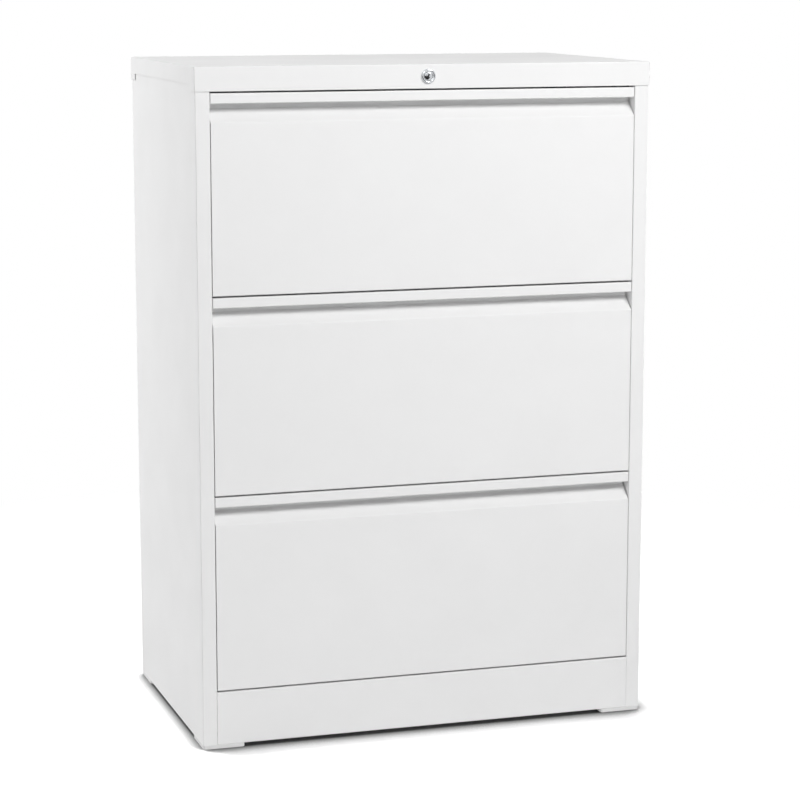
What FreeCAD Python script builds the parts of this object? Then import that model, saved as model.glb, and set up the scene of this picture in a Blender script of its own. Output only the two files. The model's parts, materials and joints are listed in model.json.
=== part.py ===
import FreeCAD, Part
import math
import os
import re
import Sketcher

# Three-drawer lateral filing cabinet in folded steel. Millimetres, Z up, front towards -Y, floor at Z = 0.
# Every size that can be chosen on its own.
SIZES = {
    # outer sizes and sheet metal
    "cabinet_width": 710.0,
    "cabinet_depth": 445.0,
    "cabinet_height": 1020.0,
    "sheet": 0.8,
    "bend_radius": 0.6,
    "fit": 0.2,
    "running": 0.4,
    # top panel
    "top_overhang": 1.5,
    "skirt_front": 36.0,
    "skirt_side": 26.0,
    "skirt_leg": 30.0,
    "skirt_return": 12.0,
    "corner_seam": 0.5,
    # side, back and base panels
    "stile_width": 22.0,
    "stile_return": 25.0,
    "rear_flange": 20.0,
    "back_flange": 12.0,
    "plinth_height": 81.0,
    "plinth_return": 20.0,
    "deck_flange": 30.0,
    # uprights and feet
    "upright_gauge": 1.5,
    "upright_width": 40.0,
    "upright_setback": 54.0,
    "upright_back_room": 60.0,
    "upright_top_room": 20.0,
    "foot_height": 6.0,
    "foot_length": 64.0,
    "foot_depth": 66.0,
    "peg_diameter": 10.0,
    "peg_height": 18.0,
    "peg_inset": 26.0,
    # drawer fronts with the finger pull under a lip
    "front_gap": 2.7,
    "side_gap": 1.2,
    "lip_height": 15.0,
    "lip_return": 4.0,
    "lip_hem": 6.0,
    "pull_mouth": 28.0,
    "pull_slope": 20.0,
    "pull_depth": 22.0,
    "pan_hem": 30.0,
    # drawer boxes
    "box_lift": 12.0,
    "box_drop": 48.0,
    "tray_drop": 4.0,
    "tray_hem": 8.0,
    "side_flange": 12.0,
    "rail_gauge": 2.0,
    "rail_tab": 4.0,
    "rail_hang": 16.0,
    "rail_inset": 31.0,
    # telescopic slides
    "slide_thickness": 12.7,
    "slide_height": 45.0,
    "slide_gauge": 1.2,
    "slide_setback": 29.5,
    "slide_back_room": 20.0,
    "slide_rise": 70.0,
    "slide_lip_room": 2.0,
    # lock
    "lock_drop": 18.0,
    "lock_face": 22.0,
    "lock_proud": 3.0,
    "lock_chamfer": 1.0,
    "barrel_diameter": 19.0,
    "barrel_length": 26.0,
    "nut_width": 24.0,
    "nut_height": 4.0,
    "plug_diameter": 13.0,
    "plug_sink": 0.5,
    "tail_diameter": 8.0,
    "key_width": 2.0,
    "key_height": 8.0,
    "key_depth": 14.0,
    "pivot_fit": 0.15,
    # gang lock between the plug and the drawers
    "cam_diameter": 22.0,
    "cam_room": 2.0,
    "bar_gauge": 2.0,
    "bar_room": 0.6,
    "half_throw": 5.0,
    "pin_diameter": 4.0,
    "slot_fit": 0.5,
    "link_height": 14.0,
    "link_end": 6.0,
    "crank_arm": 16.0,
    "crank_width": 10.0,
    "crank_corner": 3.0,
    "pivot_diameter": 6.0,
    "pivot_head": 10.0,
    "pivot_head_height": 1.2,
    "bracket_gauge": 2.0,
    "bracket_margin": 10.0,
    "bracket_foot": 20.0,
    "bar_width": 12.0,
    "bar_inset": 13.0,
    "bar_end": 5.0,
    "lug_height": 12.0,
    "lug_gap": 2.0,
    "lug_reach": 4.0,
    "catch_rise": 58.0,
    "catch_height": 20.0,
    "catch_length": 22.0,
    "catch_room": 2.0,
    "catch_gauge": 1.5,
    "guide_gauge": 1.2,
    "guide_foot": 14.0,
    "guide_lip": 6.0,
    "guide_width": 20.0,
    "link_guide_first": 90.0,
    "link_guide_pitch": 150.0,
    "bar_guide_rise": 60.0,
}

# Planes and heights that follow from the sizes. Drawer heights count from the drawer's own lower edge.
PLACES = {
    "front_y": "lock_proud / 2 - cabinet_depth / 2",
    "back_y": "lock_proud / 2 + cabinet_depth / 2",
    "face_y": "front_y + top_overhang",
    "rear_y": "back_y - top_overhang",
    "back_in_y": "rear_y - 2 * sheet",
    "body_x": "cabinet_width / 2 - top_overhang",
    "side_in_x": "body_x - sheet",
    "stile_x": "body_x - stile_width",
    "top_under": "cabinet_height - sheet",
    "skirt_z": "cabinet_height - skirt_front",
    "plinth_z": "foot_height + plinth_height",
    "front_half": "stile_x - side_gap",
    "front_tall": "(skirt_z - plinth_z - 4 * front_gap) / 3",
    "drawer_pitch": "front_tall + front_gap",
    "lip_z": "front_tall - lip_height",
    "bend_z": "lip_z - pull_mouth",
    "wall_z": "bend_z + pull_slope",
    "pan_y": "face_y + pull_depth + sheet",
    "box_x": "stile_x - slide_thickness",
    "box_front_y": "pan_y + sheet",
    "slide_front_y": "face_y + slide_setback",
    "slide_back_y": "back_in_y - slide_back_room",
    "box_top": "front_tall - box_drop",
    "side_top": "box_top - sheet - fit",
    "slide_z": "box_lift + slide_rise",
    "slide_half": "slide_height / 2",
    "mid_half": "slide_half - slide_gauge - running",
    "inner_half": "mid_half - slide_gauge - running",
    "mid_x": "stile_x - slide_gauge - running",
    "lock_z": "cabinet_height - lock_drop",
    "lock_front_y": "front_y - lock_proud",
    "plug_front_y": "lock_front_y + plug_sink",
    "barrel_back_y": "front_y + barrel_length",
    "cam_y": "barrel_back_y + running",
    "cam_back_y": "cam_y + bar_gauge",
    "link_front_y": "cam_back_y + cam_room",
    "link_back_y": "link_front_y + bar_gauge",
    "crank_y": "link_back_y + bar_room",
    "crank_back_y": "crank_y + bar_gauge",
    "bracket_y": "crank_back_y + running",
    "lug_back_y": "link_back_y + bar_gauge",
    "catch_y": "lug_back_y + catch_room",
    "pin_reach": "half_throw * sqrt(2)",
    "arm_height": "sqrt(crank_arm^2 - half_throw^2)",
    "link_z": "lock_z - (half_throw + pin_reach) / 2",
    "link_low_z": "link_z - link_height / 2",
    "pivot_z": "link_z - (crank_arm + arm_height) / 2",
    "bar_x": "body_x - bar_inset",
    "pivot_x": "bar_x - crank_arm",
    "pin_slot": "pin_diameter / 2 + slot_fit",
    "catch_z": "slide_z + catch_rise",
    "lug_z": "catch_z - lug_gap - lug_height",
}

DRAWERS = ("bottom", "middle", "top")
SIDES = {"left": -1, "right": 1}
WORD = re.compile(r"[a-z][a-z_]+")

doc = FreeCAD.newDocument("FilingCabinet")
sheet = doc.addObject("Spreadsheet::Sheet", "Sizes")
for row, (alias, size) in enumerate(SIZES.items(), start=1):
    sheet.set(f"A{row}", alias)
    sheet.set(f"B{row}", str(size))
    sheet.setAlias(f"B{row}", alias)
doc.recompute()
nodes = []


def formula(text):
    """The text as an expression on the sheet's cells."""

    def swap(match):
        word = match.group(0)
        if word in PLACES:
            return "(" + formula(PLACES[word]) + ")"
        return "Sizes." + word if word in SIZES else word

    return WORD.sub(swap, str(text))


def number(text):
    """The present value of a formula."""
    return float(sheet.evalExpression(formula(text)))


def drawer_base(index):
    """Height of a drawer's lower edge above the floor."""
    return f"plinth_z + front_gap + {index} * drawer_pitch"


def new_body(name, base_x="0", base_z="0"):
    """An empty body, placed by formulas."""
    body = doc.addObject("PartDesign::Body", name)
    body.Label = name
    body.setExpression("Placement.Base.x", formula(base_x))
    body.setExpression("Placement.Base.z", formula(base_z))
    return body


def keep(piece):
    """Put a finished piece on the list of parts to write."""
    nodes.append(piece)
    return piece


def gather(name, pieces):
    """Several equal solids kept as one part."""
    group = doc.addObject("Part::Compound", name)
    group.Label = name
    group.Links = pieces
    return keep(group)


def sketch_on(body, plane, low, high):
    """A sketch on the end that a run from low to high starts from: the XZ plane faces -Y."""
    sketch = body.newObject("Sketcher::SketchObject", body.Name + "_sketch")
    origin = next(item for item in body.Origin.OriginFeatures if item.Role == plane + "_Plane")
    sketch.AttachmentSupport = [(origin, "")]
    sketch.MapMode = "FlatFace"
    start = f"-({high})" if plane == "XZ" else f"({low})"
    sketch.setExpression("AttachmentOffset.Base.z", formula(start))
    return sketch


def pin_point(sketch, geometry, point, place):
    """Fix one point of a sketch by two bound distances from the origin."""
    for kind, text in zip(("DistanceX", "DistanceY"), place):
        rule = Sketcher.Constraint(kind, -1, 1, geometry, point, number(text))
        index = sketch.addConstraint(rule)
        sketch.setExpression(f"Constraints[{index}]", formula(text))


def draw_polygon(sketch, corners):
    """A closed outline whose corners are all bound."""
    spots = [FreeCAD.Vector(number(u), number(v), 0) for u, v in corners]
    count = len(corners)
    for index in range(count):
        line = Part.LineSegment(spots[index], spots[(index + 1) % count])
        sketch.addGeometry(line, False)
    for index in range(count):
        following = (index + 1) % count
        sketch.addConstraint(Sketcher.Constraint("Coincident", index, 2, following, 1))
    for index, place in enumerate(corners):
        pin_point(sketch, index, 1, place)


def draw_circle(sketch, centre, diameter):
    """A circle with a bound centre and diameter."""
    middle = FreeCAD.Vector(number(centre[0]), number(centre[1]), 0)
    circle = Part.Circle(middle, FreeCAD.Vector(0, 0, 1), number(diameter) / 2)
    index = sketch.addGeometry(circle, False)
    pin_point(sketch, index, 3, centre)
    rule = sketch.addConstraint(Sketcher.Constraint("Diameter", index, number(diameter)))
    sketch.setExpression(f"Constraints[{rule}]", formula(diameter))


def run_along(body, sketch, low, high, kind):
    """Pad or pocket a sketch over its run."""
    feature = body.newObject("PartDesign::" + kind, body.Name + "_" + kind.lower())
    feature.Profile = sketch
    feature.Reversed = kind == "Pocket"
    feature.setExpression("Length", formula(f"({high}) - ({low})"))
    return feature


def plate(body, plane, corners, low, high, kind="Pad"):
    """A straight-sided solid, or a cut of that shape."""
    sketch = sketch_on(body, plane, low, high)
    draw_polygon(sketch, corners)
    return run_along(body, sketch, low, high, kind)


def box(body, plane, first, last, low, high, kind="Pad"):
    """A plate with a rectangular outline between two corners."""
    corners = [first, (last[0], first[1]), last, (first[0], last[1])]
    return plate(body, plane, corners, low, high, kind)


def rod(body, plane, centre, diameter, low, high, kind="Pad"):
    """A round pin, or a round hole."""
    sketch = sketch_on(body, plane, low, high)
    draw_circle(sketch, centre, diameter)
    return run_along(body, sketch, low, high, kind)


def shown(point, plane):
    """The two coordinates of a point that a sketch plane shows."""
    return tuple(getattr(point, axis) for axis in plane.lower())


def round_edges(body, feature, spots, plane, radius):
    """Fillet the edges that stand on the given spots of a sketch plane."""
    doc.recompute()
    names = []
    for index, edge in enumerate(feature.Shape.Edges, start=1):
        ends = [shown(vertex.Point, plane) for vertex in edge.Vertexes]
        for spot in spots:
            if all(math.dist(end, spot) < 1e-4 for end in ends):
                names.append(f"Edge{index}")
    fillet = body.newObject("PartDesign::Fillet", body.Name + "_bend")
    fillet.Base = (feature, names)
    fillet.setExpression("Radius", formula(radius))
    return fillet


def mitre(points, index, side):
    """Offset of one path point per unit of gauge, towards the metal side."""
    normals = []
    for first in (index - 1, index):
        if 0 <= first < len(points) - 1:
            du = points[first + 1][0] - points[first][0]
            dv = points[first + 1][1] - points[first][1]
            run = math.hypot(du, dv)
            normals.append((-side * dv / run, side * du / run))
    if len(normals) == 1:
        return normals[0]
    share = 1 + normals[0][0] * normals[1][0] + normals[0][1] * normals[1][1]
    return tuple((normals[0][axis] + normals[1][axis]) / share for axis in (0, 1))


def folded(body, plane, path, side, gauge, low, high, rounded=True):
    """A bent sheet: a path of one face, the metal on its left (1) or right (-1), bends rounded if asked."""
    points = [(number(u), number(v)) for u, v in path]
    back = []
    for index, place in enumerate(path):
        shift = mitre(points, index, side)
        back.append(tuple(f"{text} + {gauge} * ({step:.9f})" for text, step in zip(place, shift)))
    feature = plate(body, plane, path + back[::-1], low, high)
    if not rounded:
        return feature
    inner, outer = [], []
    for index in range(1, len(path) - 1):
        before, here, after = points[index - 1], points[index], points[index + 1]
        turn = (here[0] - before[0]) * (after[1] - here[1]) - (here[1] - before[1]) * (after[0] - here[0])
        behind = tuple(number(text) for text in back[index])
        outer.append(here if turn * side > 0 else behind)
        inner.append(behind if turn * side > 0 else here)
    feature = round_edges(body, feature, inner, plane, "bend_radius")
    return round_edges(body, feature, outer, plane, f"bend_radius + {gauge}")


def turned(body, outline):
    """A solid turned about the body's Y axis from an outline of radius and depth."""
    sketch = sketch_on(body, "XY", "0", "0")
    draw_polygon(sketch, outline)
    feature = body.newObject("PartDesign::Revolution", body.Name + "_turn")
    feature.Profile = sketch
    feature.ReferenceAxis = (sketch, ["V_Axis"])
    feature.Angle = 360
    return feature


def facing(sign, path):
    """A path drawn for the right-hand side, on the side asked for."""
    return [(f"{sign} * ({u})", v) for u, v in path]


def span(sign, near, far):
    """Low and high ends of a run along X given for the right-hand side."""
    return (near, far) if sign > 0 else (f"-({far})", f"-({near})")


def build_shell():
    """Panels, uprights and feet of the case."""
    for name, sign in SIDES.items():
        body = keep(new_body(f"{name}_side_panel"))
        path = [
            ("stile_x", "face_y + stile_return"),
            ("stile_x", "face_y"),
            ("body_x", "face_y"),
            ("body_x", "rear_y"),
            ("body_x - rear_flange", "rear_y"),
        ]
        folded(body, "XY", facing(sign, path), sign, "sheet", "foot_height", "top_under")
        low, high = span(sign, "stile_x + sheet / 2", "body_x - sheet / 2")
        flange = ("foot_height", "foot_height + sheet")
        box(body, "XY", (low, "face_y + sheet / 2"), (high, "back_in_y - fit"), *flange)
        for peg_y in ("face_y + peg_inset", "rear_y - peg_inset"):
            centre = (f"{sign} * (body_x - stile_width / 2)", peg_y)
            rod(body, "XY", centre, "peg_diameter + 2 * fit", *flange, "Pocket")
        uprights = {
            "front": "face_y + upright_setback",
            "rear": "back_in_y - upright_back_room - upright_width",
        }
        for place, start in uprights.items():
            body = keep(new_body(f"{place}_{name}_upright"))
            path = [
                ("side_in_x", start),
                ("stile_x", start),
                ("stile_x", f"{start} + upright_width"),
                ("side_in_x", f"{start} + upright_width"),
            ]
            top = "top_under - upright_top_room"
            folded(body, "XY", facing(sign, path), -sign, "upright_gauge", "foot_height + sheet", top, False)
        build_foot(f"front_{name}_foot", sign, "face_y", "face_y + foot_depth", "face_y + peg_inset")
        build_foot(f"rear_{name}_foot", sign, "rear_y - foot_depth", "rear_y", "rear_y - peg_inset")

    body = keep(new_body("back_panel"))
    path = [
        ("rear_y - sheet", "foot_height"),
        ("rear_y - sheet", "top_under"),
        ("back_in_y - back_flange", "top_under"),
    ]
    half = "side_in_x - bend_radius - fit"
    folded(body, "YZ", path, 1, "sheet", f"-({half})", half)

    body = keep(new_body("base_panel"))
    path = [
        ("face_y + plinth_return", "foot_height"),
        ("face_y", "foot_height"),
        ("face_y", "plinth_z"),
        ("back_in_y - fit", "plinth_z"),
        ("back_in_y - fit", "plinth_z - deck_flange"),
    ]
    folded(body, "YZ", path, -1, "sheet", "fit - stile_x", "stile_x - fit")
    build_top()


def build_foot(name, sign, start, end, peg_y):
    """A corner pad with a peg that stands up inside the case."""
    body = keep(new_body(name))
    low, high = span(sign, "body_x - foot_length", "body_x")
    box(body, "XY", (low, start), (high, end), "0", "foot_height")
    centre = (f"{sign} * (body_x - stile_width / 2)", peg_y)
    rod(body, "XY", centre, "peg_diameter", "foot_height", "foot_height + peg_height")


def build_top():
    """Top panel: a tray with deep corner legs, an open corner seam, a return and the lock's hole."""
    body = keep(new_body("top_panel"))
    half = "cabinet_width / 2"
    tray = box(body, "XY", (f"-{half}", "front_y"), (half, "back_y"), "skirt_z", "cabinet_height")
    rims = [(number(f"-{half}"), number("cabinet_height")), (number(half), number("cabinet_height"))]
    tray = round_edges(body, tray, rims, "XZ", "bend_radius + sheet")
    rims = [(number("front_y"), number("cabinet_height")), (number("back_y"), number("cabinet_height"))]
    round_rims(body, tray, rims)
    inside = ((f"sheet - {half}", "front_y + sheet"), (f"{half} - sheet", "back_y - sheet"))
    box(body, "XY", *inside, "skirt_z - sheet", "top_under", "Pocket")
    gap_low = ("front_y + skirt_leg", "skirt_z - sheet")
    gap_high = ("back_y - skirt_leg", "cabinet_height - skirt_side")
    box(body, "YZ", gap_low, gap_high, f"-{half} - sheet", f"{half} + sheet", "Pocket")
    ledge = (("fit - stile_x", "front_y + sheet / 2"), ("stile_x - fit", "front_y + skirt_return"))
    box(body, "XY", *ledge, "skirt_z", "skirt_z + sheet")
    for sign in SIDES.values():
        near, far = span(sign, f"{half} - sheet - corner_seam", f"{half} - sheet")
        slit = ((near, "front_y - sheet"), (far, "front_y + sheet / 2"))
        box(body, "XY", *slit, "skirt_z - sheet", "cabinet_height - bend_radius - 2 * sheet", "Pocket")
    hole = "barrel_diameter + 2 * fit"
    rod(body, "XZ", ("0", "lock_z"), hole, "front_y - sheet", "front_y + 2 * sheet", "Pocket")


def round_rims(body, feature, rims):
    """Fillet the front and back rims of the top, which end in the side rims' rounding."""
    doc.recompute()
    names = []
    for index, edge in enumerate(feature.Shape.Edges, start=1):
        ends = [shown(vertex.Point, "YZ") for vertex in edge.Vertexes]
        long_enough = edge.Length > number("cabinet_width / 2")
        for spot in rims:
            if long_enough and all(math.dist(end, spot) < 1e-4 for end in ends):
                names.append(f"Edge{index}")
    fillet = body.newObject("PartDesign::Fillet", body.Name + "_rim")
    fillet.Base = (feature, names)
    fillet.setExpression("Radius", formula("bend_radius + sheet"))
    return fillet


def build_slide(drawer, index, name, sign):
    """Three nested channels of one telescopic slide."""
    channels = {
        "outer": ("stile_x", "box_x + slide_lip_room", "slide_half"),
        "middle": ("mid_x", "box_x + slide_gauge + running", "mid_half"),
        "inner": ("box_x", "mid_x - slide_gauge - running", "inner_half"),
    }
    for member, (web, tip, half) in channels.items():
        body = keep(new_body(f"{drawer}_slide_{member}_{name}", base_z=drawer_base(index)))
        path = [
            (tip, f"slide_z + {half}"),
            (web, f"slide_z + {half}"),
            (web, f"slide_z - {half}"),
            (tip, f"slide_z - {half}"),
        ]
        metal = sign if member == "inner" else -sign
        run = ("slide_front_y", "slide_back_y")
        folded(body, "XZ", facing(sign, path), metal, "slide_gauge", *run, False)


def build_front(drawer, index):
    """Drawer front: one folded sheet with a hemmed lip over a finger pull, and closed ends."""
    body = keep(new_body(f"{drawer}_drawer_front", base_z=drawer_base(index)))
    path = [
        ("face_y + lip_return", "lip_z + lip_hem"),
        ("face_y + lip_return", "lip_z"),
        ("face_y", "lip_z"),
        ("face_y", "front_tall"),
        ("pan_y", "front_tall"),
        ("pan_y", "wall_z"),
        ("face_y + sheet", "bend_z"),
        ("face_y + sheet", "sheet"),
        ("pan_y - sheet", "sheet"),
        ("pan_y - sheet", "pan_hem"),
    ]
    folded(body, "YZ", path, -1, "sheet", "-front_half", "front_half")
    end = [
        ("face_y + 0.6 * sheet", "0.6 * sheet"),
        ("pan_y - 0.4 * sheet", "0.6 * sheet"),
        ("pan_y - 0.4 * sheet", "wall_z"),
        ("face_y + 0.6 * sheet", "bend_z"),
    ]
    for sign in SIDES.values():
        plate(body, "YZ", end, *span(sign, "front_half - sheet", "front_half"))


def build_box(drawer, index):
    """Drawer box: a tray, two sides, two hanging rails and the catch for the lock."""
    base = drawer_base(index)
    body = keep(new_body(f"{drawer}_drawer_tray", base_z=base))
    path = [
        ("pan_y", "front_tall - tray_drop"),
        ("pan_y", "box_lift"),
        ("slide_back_y", "box_lift"),
        ("slide_back_y", "box_top"),
        ("slide_back_y - tray_hem", "box_top"),
    ]
    folded(body, "YZ", path, 1, "sheet", "-box_x", "box_x")
    for name, sign in SIDES.items():
        body = keep(new_body(f"{drawer}_drawer_side_{name}", base_z=base))
        path = [
            ("box_x - side_flange", "side_top"),
            ("box_x", "side_top"),
            ("box_x", "box_lift + sheet"),
            ("box_x - side_flange", "box_lift + sheet"),
        ]
        run = ("box_front_y + fit", "slide_back_y - sheet - fit")
        folded(body, "XZ", facing(sign, path), -sign, "sheet", *run)

    rails = []
    starts = ("box_front_y + rail_inset", "slide_back_y - rail_inset - rail_gauge")
    for place, start in zip(("front", "rear"), starts):
        body = new_body(f"{drawer}_{place}_rail", base_z=base)
        end, drop = "box_x - sheet - fit", "box_x - side_flange - running"
        outline = [
            (f"-({end})", "side_top"),
            (f"-({drop})", "side_top"),
            (f"-({drop})", "side_top - rail_hang"),
            (drop, "side_top - rail_hang"),
            (drop, "side_top"),
            (end, "side_top"),
            (end, "side_top + rail_tab"),
            (f"-({end})", "side_top + rail_tab"),
        ]
        plate(body, "XZ", outline, start, f"{start} + rail_gauge")
        rails.append(body)
    gather(f"{drawer}_file_rails", rails)

    body = keep(new_body(f"{drawer}_lock_catch", base_z=base))
    path = [("box_x", "catch_y + catch_length"), ("box_x", "catch_y"), ("front_half", "catch_y")]
    folded(body, "XY", path, 1, "catch_gauge", "catch_z", "catch_z + catch_height")


def build_lock():
    """Cylinder lock in the middle of the front skirt."""
    body = keep(new_body("lock_barrel", base_z="lock_z"))
    bore = "plug_diameter / 2 + pivot_fit"
    outline = [
        (bore, "lock_front_y"),
        ("lock_face / 2 - lock_chamfer", "lock_front_y"),
        ("lock_face / 2", "lock_front_y + lock_chamfer"),
        ("lock_face / 2", "front_y"),
        ("barrel_diameter / 2", "front_y"),
        ("barrel_diameter / 2", "barrel_back_y"),
        (bore, "barrel_back_y"),
    ]
    turned(body, outline)

    body = keep(new_body("lock_nut", base_z="lock_z"))
    run = ("front_y + sheet", "front_y + sheet + nut_height")
    corner, flat = "nut_width / sqrt(3)", "nut_width / 2"
    outline = [
        (corner, "0"),
        (f"{corner} / 2", flat),
        (f"-{corner} / 2", flat),
        (f"-{corner}", "0"),
        (f"-{corner} / 2", f"-{flat}"),
        (f"{corner} / 2", f"-{flat}"),
    ]
    plate(body, "XZ", outline, *run)
    rod(body, "XZ", ("0", "0"), "barrel_diameter + 2 * pivot_fit", *run, "Pocket")

    body = keep(new_body("lock_plug", base_z="lock_z"))
    outline = [
        ("0", "plug_front_y"),
        ("plug_diameter / 2", "plug_front_y"),
        ("plug_diameter / 2", "barrel_back_y"),
        ("tail_diameter / 2", "barrel_back_y"),
        ("tail_diameter / 2", "cam_back_y + running"),
        ("0", "cam_back_y + running"),
    ]
    turned(body, outline)
    keyway = (("-key_width / 2", "-key_height / 2"), ("key_width / 2", "key_height / 2"))
    box(body, "XZ", *keyway, "plug_front_y", "plug_front_y + key_depth", "Pocket")

    body = keep(new_body("lock_cam", base_z="lock_z"))
    rod(body, "XZ", ("0", "0"), "cam_diameter", "cam_y", "cam_back_y")
    rod(body, "XZ", ("0", "0"), "tail_diameter + 2 * pivot_fit", "cam_y", "cam_back_y", "Pocket")
    rod(body, "XZ", ("half_throw", "-half_throw"), "pin_diameter", "cam_back_y", "link_back_y + fit")


def build_gang_lock():
    """Link bar, bell crank and lifting bar that carry the lock's turn to every drawer."""
    body = keep(new_body("link_bar"))
    layer = ("link_front_y", "link_back_y")
    end = "link_height / 2 + half_throw"
    low = (f"-({end})", "link_low_z")
    high = ("pivot_x + half_throw + link_end", "link_low_z + link_height")
    box(body, "XZ", low, high, *layer)
    slots = {
        "half_throw": ("lock_z - pin_reach - pin_slot", "lock_z - half_throw + pin_slot"),
        "pivot_x + half_throw": ("pivot_z + arm_height - pin_slot", "pivot_z + crank_arm + pin_slot"),
    }
    for x, (slot_low, slot_high) in slots.items():
        box(body, "XZ", (f"{x} - pin_slot", slot_low), (f"{x} + pin_slot", slot_high), *layer, "Pocket")

    body = keep(new_body("bell_crank", "pivot_x", "pivot_z"))
    half, tip = "crank_width / 2", "crank_arm + crank_width / 2"
    outline = [
        (f"-{half}", f"-{half}"),
        (tip, f"-{half}"),
        (tip, half),
        (half, half),
        (half, tip),
        (f"-{half}", tip),
    ]
    arms = plate(body, "XZ", outline, "crank_y", "crank_back_y")
    spots = [(number(u), number(v)) for u, v in outline]
    round_edges(body, arms, spots, "XZ", "crank_corner")
    bore = "pivot_diameter + 2 * pivot_fit"
    rod(body, "XZ", ("0", "0"), bore, "crank_y", "crank_back_y", "Pocket")
    for centre in (("0", "crank_arm"), ("crank_arm", "0")):
        rod(body, "XZ", centre, "pin_diameter", "link_front_y - fit", "crank_y")
    body.Placement.Rotation = FreeCAD.Rotation(FreeCAD.Vector(0, 1, 0), 1)
    body.setExpression("Placement.Rotation.Angle", formula("asin(half_throw / crank_arm)"))

    body = keep(new_body("crank_bracket"))
    left, low, high = "pivot_x - bracket_margin", "pivot_z - bracket_margin", "pivot_z + bracket_margin"
    path = [(left, "bracket_y"), ("side_in_x", "bracket_y"), ("side_in_x", "bracket_y + bracket_foot")]
    folded(body, "XY", path, 1, "bracket_gauge", low, high)
    centre = ("pivot_x", "pivot_z")
    rod(body, "XZ", centre, "pivot_diameter", "crank_y - running", "bracket_y")
    head = ("crank_y - running - pivot_head_height", "crank_y - running")
    rod(body, "XZ", centre, "pivot_head", *head)

    body = keep(new_body("lock_bar"))
    low = ("bar_x - bar_width / 2", f"{drawer_base(0)} + lug_z - bar_end")
    high = ("bar_x + bar_width / 2", "pivot_z - half_throw + bar_end")
    box(body, "XZ", low, high, *layer)
    low = ("pivot_x + arm_height - pin_slot", "pivot_z - half_throw - pin_slot")
    high = ("pivot_x + crank_arm + pin_slot", "pivot_z - half_throw + pin_slot")
    box(body, "XZ", low, high, *layer, "Pocket")

    lugs = []
    for index, drawer in enumerate(DRAWERS):
        body = new_body(f"{drawer}_lug", base_z=drawer_base(index))
        low = ("box_x + lug_reach", "lug_z")
        high = ("bar_x + bar_width / 2", "lug_z + lug_height")
        box(body, "XZ", low, high, "link_back_y", "lug_back_y")
        lugs.append(body)
    gather("lock_lugs", lugs)
    build_guides()


def build_guides():
    """Hooks that hold the link bar under the top and the lifting bar on the right side panel."""
    guides = []
    rear, front = "link_back_y + running", "link_front_y - running"
    for index in (0, 1):
        body = new_body(f"link_guide_{index + 1}")
        path = [
            (f"{rear} + guide_foot", "top_under"),
            (rear, "top_under"),
            (rear, "link_low_z - running"),
            (front, "link_low_z - running"),
            (front, "link_low_z + guide_lip"),
        ]
        start = f"link_guide_first + {index} * link_guide_pitch"
        folded(body, "YZ", path, 1, "guide_gauge", start, f"{start} + guide_width", False)
        guides.append(body)
    edge = "bar_x - bar_width / 2 - running"
    for index in (0, 2):
        body = new_body(f"bar_guide_{index + 1}", base_z=drawer_base(index))
        path = [
            ("side_in_x", f"{rear} + guide_foot"),
            ("side_in_x", rear),
            (edge, rear),
            (edge, front),
            (f"{edge} + guide_lip", front),
        ]
        start = "lug_z + bar_guide_rise"
        folded(body, "XY", path, -1, "guide_gauge", start, f"{start} + guide_width", False)
        guides.append(body)
    gather("lock_guides", guides)


build_shell()
for number_up, drawer_name in enumerate(DRAWERS):
    build_front(drawer_name, number_up)
    build_box(drawer_name, number_up)
    for side_name, side_sign in SIDES.items():
        build_slide(drawer_name, number_up, side_name, side_sign)
build_lock()
build_gang_lock()

doc.recompute()
for item in doc.Objects:
    if {"Invalid", "Error"} & set(item.State):
        raise RuntimeError(f"{item.Label} did not compute: {item.State}")
os.makedirs("parts", exist_ok=True)
for piece in nodes:
    if piece.Shape.isNull() or not piece.Shape.isValid():
        raise RuntimeError(f"{piece.Label} has no sound shape")
    piece.Shape.exportStep(f"parts/{piece.Label}.step")
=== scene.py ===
"""Looks of a white steel lateral filing cabinet with three drawers and one lock.

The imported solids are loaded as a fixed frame. Each sub-assembly dresses its own nodes with
a finish and adds the small pieces that the solids leave out, and a plain studio is set
around the cabinet. Sizes of finishes and pieces are in mm, and the studio's are in metres.
"""

import json
import logging
import math
from dataclasses import dataclass, field
from enum import Enum
from typing import Any

import bmesh
import bpy
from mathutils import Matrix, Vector


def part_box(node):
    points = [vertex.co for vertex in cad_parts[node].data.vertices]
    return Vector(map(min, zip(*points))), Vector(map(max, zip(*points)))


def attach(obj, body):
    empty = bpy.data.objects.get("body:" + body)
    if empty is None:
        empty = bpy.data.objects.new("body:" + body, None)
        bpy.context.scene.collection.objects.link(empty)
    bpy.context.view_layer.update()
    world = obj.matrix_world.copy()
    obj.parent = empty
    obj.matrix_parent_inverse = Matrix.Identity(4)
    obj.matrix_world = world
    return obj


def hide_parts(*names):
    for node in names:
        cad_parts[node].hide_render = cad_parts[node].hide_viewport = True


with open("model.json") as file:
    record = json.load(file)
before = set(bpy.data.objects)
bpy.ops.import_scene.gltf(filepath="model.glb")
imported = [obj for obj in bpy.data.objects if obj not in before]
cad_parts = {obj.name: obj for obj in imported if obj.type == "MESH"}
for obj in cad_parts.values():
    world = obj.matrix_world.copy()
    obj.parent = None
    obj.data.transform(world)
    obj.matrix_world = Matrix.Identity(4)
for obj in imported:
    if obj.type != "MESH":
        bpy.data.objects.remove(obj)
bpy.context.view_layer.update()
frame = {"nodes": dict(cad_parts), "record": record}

LOG = logging.getLogger("filing_cabinet")
MM = 0.001
BLACK = (0, 0, 0, 1)
WHITE = (1, 1, 1, 1)
# Most values of a noise texture lie between these two.
NOISE_SPAN = (0.3, 0.7)
# Edges that turn by more than this angle, in degrees, stay sharp.
CREASE = 32

Tree = bpy.types.NodeTree
Socket = bpy.types.NodeSocket
Ring = list[tuple[float, float, float]]
Profile = list[tuple[float, float]]


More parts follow.
